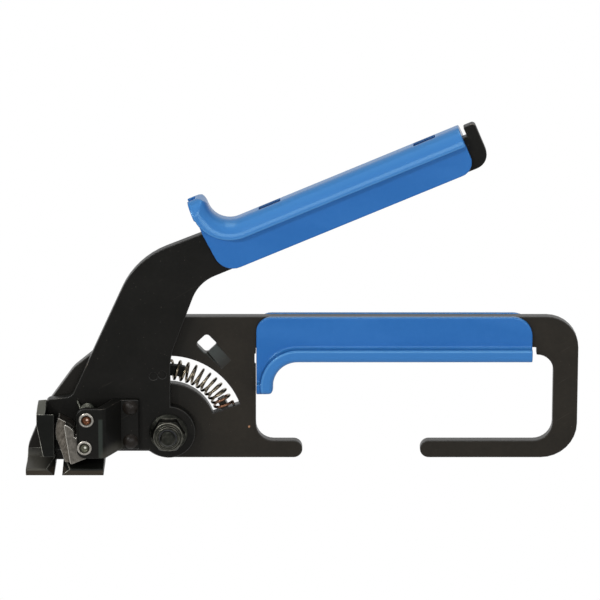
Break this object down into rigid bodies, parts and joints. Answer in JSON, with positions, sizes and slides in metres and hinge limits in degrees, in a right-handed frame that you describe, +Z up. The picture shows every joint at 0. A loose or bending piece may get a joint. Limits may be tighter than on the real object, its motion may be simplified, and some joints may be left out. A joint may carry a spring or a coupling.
{
  "type": "cable tie tensioning hand tool",
  "caption": "Flat steel hand tool that draws a cable tie tight: a frame with a D-guard, a sprung lever on a pivot bolt, moulded grips, and a toothed gripper at the nose.",
  "frame": {"origin": "middle of the slot between the two feet that a cable tie's strap passes through, on the plane of the feet's undersides and half-way along their depth", "axes": "+X along the tool from the nose to the guard, +Z up from the feet towards the lever, -Y towards the side that carries the lever, the jaw and the nut"},
  "size_m": [0.2216, 0.0311, 0.1417],
  "materials": {
    "frame_black": "black oxide over blanked steel, satin, worn bright along the edges",
    "lever_black": "black oxide, satin, a little darker than the frame",
    "fastener_black": "blackened steel fasteners, slightly shiny",
    "grip_blue": "moulded mid-blue vinyl, semi-gloss",
    "tool_steel": "hardened tool steel, warm grey, ground faces",
    "spring_steel": "oiled spring wire with a straw tint",
    "bright_steel": "bright turned steel",
    "bronze": "plain bearing bronze",
    "nylon": "dark nylon locking ring"
  },
  "bodies": {
    "frame": {"frame_plate": "frame_black", "foot_left": "frame_black", "foot_right": "frame_black", "foot_screws": "fastener_black", "frame_grip": "grip_blue", "pivot_bolt": "fastener_black", "pivot_washer": "fastener_black", "pivot_bush": "bronze", "thrust_washer": "bright_steel", "pivot_nut": "fastener_black", "nut_insert": "nylon", "return_spring": "spring_steel"},
    "lever": {"lever_plate": "lever_black", "lever_grip": "grip_blue", "spring_post": "lever_black", "post_rivets": "fastener_black", "anvil_jaw": "lever_black", "jaw_screws": "fastener_black", "gripper_bracket": "lever_black", "bracket_rivets": "fastener_black", "stop_pin": "bright_steel", "gripper_pin": "bright_steel", "gripper_spring": "spring_steel"},
    "gripper": {"gripper_pawl": "tool_steel", "gripper_cheek": "tool_steel", "gripper_bush": "bronze", "gripper_dowels": "bright_steel"}
  },
  "joints": [
    {"name": "lever_pivot", "type": "hinge", "parent": "frame", "child": "lever", "pos_m": [0.0439, 0.00875, 0.0142], "axis": [0, 1, 0], "range_deg": [0, 22], "stiffness_Nm_per_rad": 0.8, "springref_deg": -34.38, "deforming": ["return_spring"]},
    {"name": "gripper_pivot", "type": "hinge", "parent": "lever", "child": "gripper", "pos_m": [0.0108, 0.00875, 0.0125], "axis": [0, 1, 0], "range_deg": [0, 10], "stiffness_Nm_per_rad": 0.03, "springref_deg": -28.65, "deforming": ["gripper_spring"]}
  ]
}
